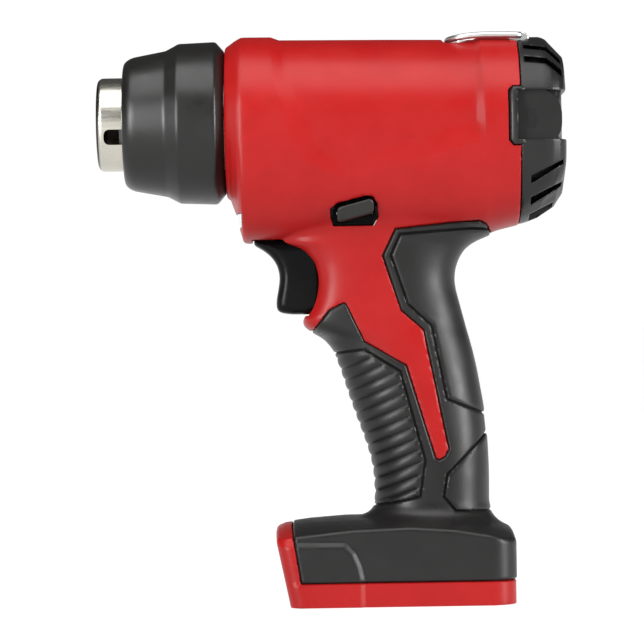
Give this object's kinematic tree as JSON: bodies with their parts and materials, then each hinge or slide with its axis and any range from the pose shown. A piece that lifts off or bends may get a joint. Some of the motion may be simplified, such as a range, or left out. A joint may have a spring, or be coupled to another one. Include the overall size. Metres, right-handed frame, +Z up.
{
  "type": "heat gun",
  "caption": "Pistol-shaped battery heat gun: round steel outlet in a dark shield, vented rear cap, trigger, soft grip and a wide foot with a battery bay.",
  "frame": {"origin": "middle of the tool's length and width, at the level its foot stands on", "axes": "+Z up, +X towards the rear air intake with the hot-air outlet at -X, +Y towards the side the housing screws enter"},
  "size_m": [0.1628, 0.076, 0.1974],
  "materials": {
    "shell_red": "satin moulded plastic",
    "grip_rubber": "soft matt overmould",
    "black_plastic": "satin moulded plastic",
    "nozzle_steel": "drawn tube, slightly heat-tinted",
    "bright_steel": "plated",
    "copper": "bright",
    "mica": "matt, heat-resistant",
    "grey_plastic": "moulded",
    "board_green": "solder mask",
    "clear_lens": "clear",
    "lead_red": "sleeve",
    "lead_black": "sleeve",
    "lead_white": "glass-braid sleeve"
  },
  "bodies": {
    "housing": {"housing_left": "shell_red", "housing_right": "shell_red", "grip_overmould_left": "grip_rubber", "grip_overmould_right": "grip_rubber", "heat_shield": "black_plastic", "nozzle_tube": "nozzle_steel", "nozzle_mounting_ring": "mica", "mica_sleeve": "mica", "heater_former": "mica", "heating_coil": "bright_steel", "thermal_cutout": "black_plastic", "led_lens": "clear_lens", "led_board": "board_green", "fan_shroud": "grey_plastic", "motor_can": "bright_steel", "motor_end_bell": "black_plastic", "air_duct": "mica", "rear_cap": "black_plastic", "intake_screen": "bright_steel", "trigger_spring": "bright_steel", "trigger_switch": "grey_plastic", "bail_bracket": "black_plastic", "terminal_block": "black_plastic", "control_board": "board_green", "terminal_blade_1": "copper", "terminal_blade_2": "copper", "terminal_blade_3": "copper", "terminal_blade_4": "copper", "housing_screw_1": "bright_steel", "housing_screw_2": "bright_steel", "housing_screw_3": "bright_steel", "housing_screw_4": "bright_steel", "housing_screw_5": "bright_steel", "housing_screw_6": "bright_steel", "housing_screw_7": "bright_steel", "housing_screw_8": "bright_steel", "battery_lead_positive": "lead_red", "motor_lead_positive": "lead_red", "battery_lead_negative": "lead_black", "motor_lead_negative": "lead_black", "heater_lead_a": "lead_white", "heater_lead_b": "lead_white"},
    "trigger": {"trigger": "black_plastic", "switch_plunger": "grey_plastic"},
    "lock": {"lock_shuttle": "black_plastic"},
    "bail": {"hang_bail": "bright_steel"},
    "rotor": {"motor_shaft": "bright_steel", "impeller": "black_plastic"}
  },
  "joints": [
    {"name": "trigger_pull", "type": "slide", "parent": "housing", "child": "trigger", "axis": [1, 0, 0], "range_m": [0, 0.0065], "stiffness_N_per_m": 500, "springref_m": -0.008, "deforming": ["trigger_spring"]},
    {"name": "lock_slide", "type": "slide", "parent": "housing", "child": "lock", "axis": [0, 1, 0], "range_m": [0, 0.006]},
    {"name": "bail_hinge", "type": "hinge", "parent": "housing", "child": "bail", "pos_m": [0.066, 0, 0.1955], "axis": [0, 1, 0], "range_deg": [0, 120]},
    {"name": "rotor_spin", "type": "hinge", "parent": "housing", "child": "rotor", "pos_m": [0.055, 0, 0.167], "axis": [1, 0, 0], "continuous": true}
  ]
}
